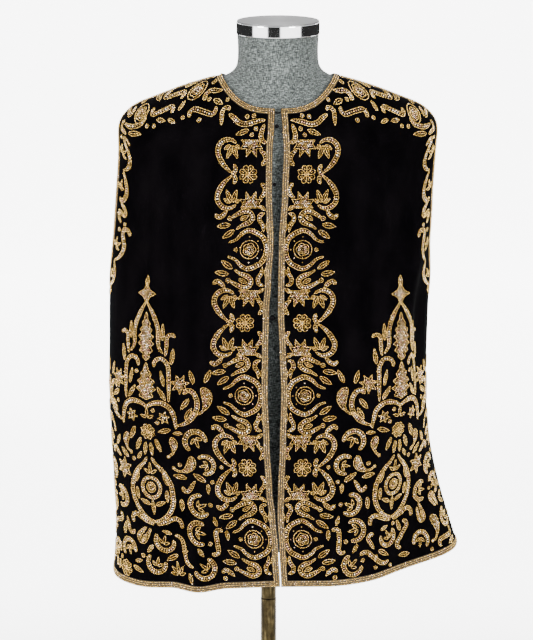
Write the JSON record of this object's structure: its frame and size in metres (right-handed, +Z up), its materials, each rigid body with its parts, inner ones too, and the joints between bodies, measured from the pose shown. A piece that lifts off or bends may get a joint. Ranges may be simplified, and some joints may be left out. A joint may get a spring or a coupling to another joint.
{
  "type": "sleeveless tuxedo jacket on a dress form",
  "caption": "Collarless sleeveless black velvet evening jacket with gold bead edging, open in front, worn by a limbless dress form on a pole stand with a round foot.",
  "frame": {"origin": "centre of the foot's flat underside, on the floor, on the pole's axis", "axes": "+Z up along the pole, -Y the way the jacket's front faces, +X towards the wearer's left"},
  "size_m": [0.5208, 0.34, 1.5577],
  "materials": {
    "velvet": "black cotton velvet, short dense nap",
    "bead_edging": "strung gold-tone beads, three rows",
    "button": "glossy black",
    "hook": "black lacquered wire",
    "form_cover": "grey heather woven cover",
    "cap_band": "polished",
    "cap_plate": "brushed in one direction",
    "stand": "antiqued, dark in the hollows"
  },
  "bodies": {
    "root": {"right_front": "velvet", "left_front": "velvet", "back": "velvet", "edging_right_front": "bead_edging", "edging_left_front": "bead_edging", "edging_right_armhole_front": "bead_edging", "edging_left_armhole_front": "bead_edging", "edging_right_armhole_back": "bead_edging", "edging_left_armhole_back": "bead_edging", "edging_back_neck": "bead_edging", "edging_back_hem": "bead_edging", "button_1": "button", "button_2": "button", "button_3": "button", "neck_hook": "hook", "form_body": "form_cover", "cap_band": "cap_band", "cap_plate": "cap_plate", "pole_upper": "stand", "pole_lower": "stand", "foot": "stand"}
  },
  "joints": []
}
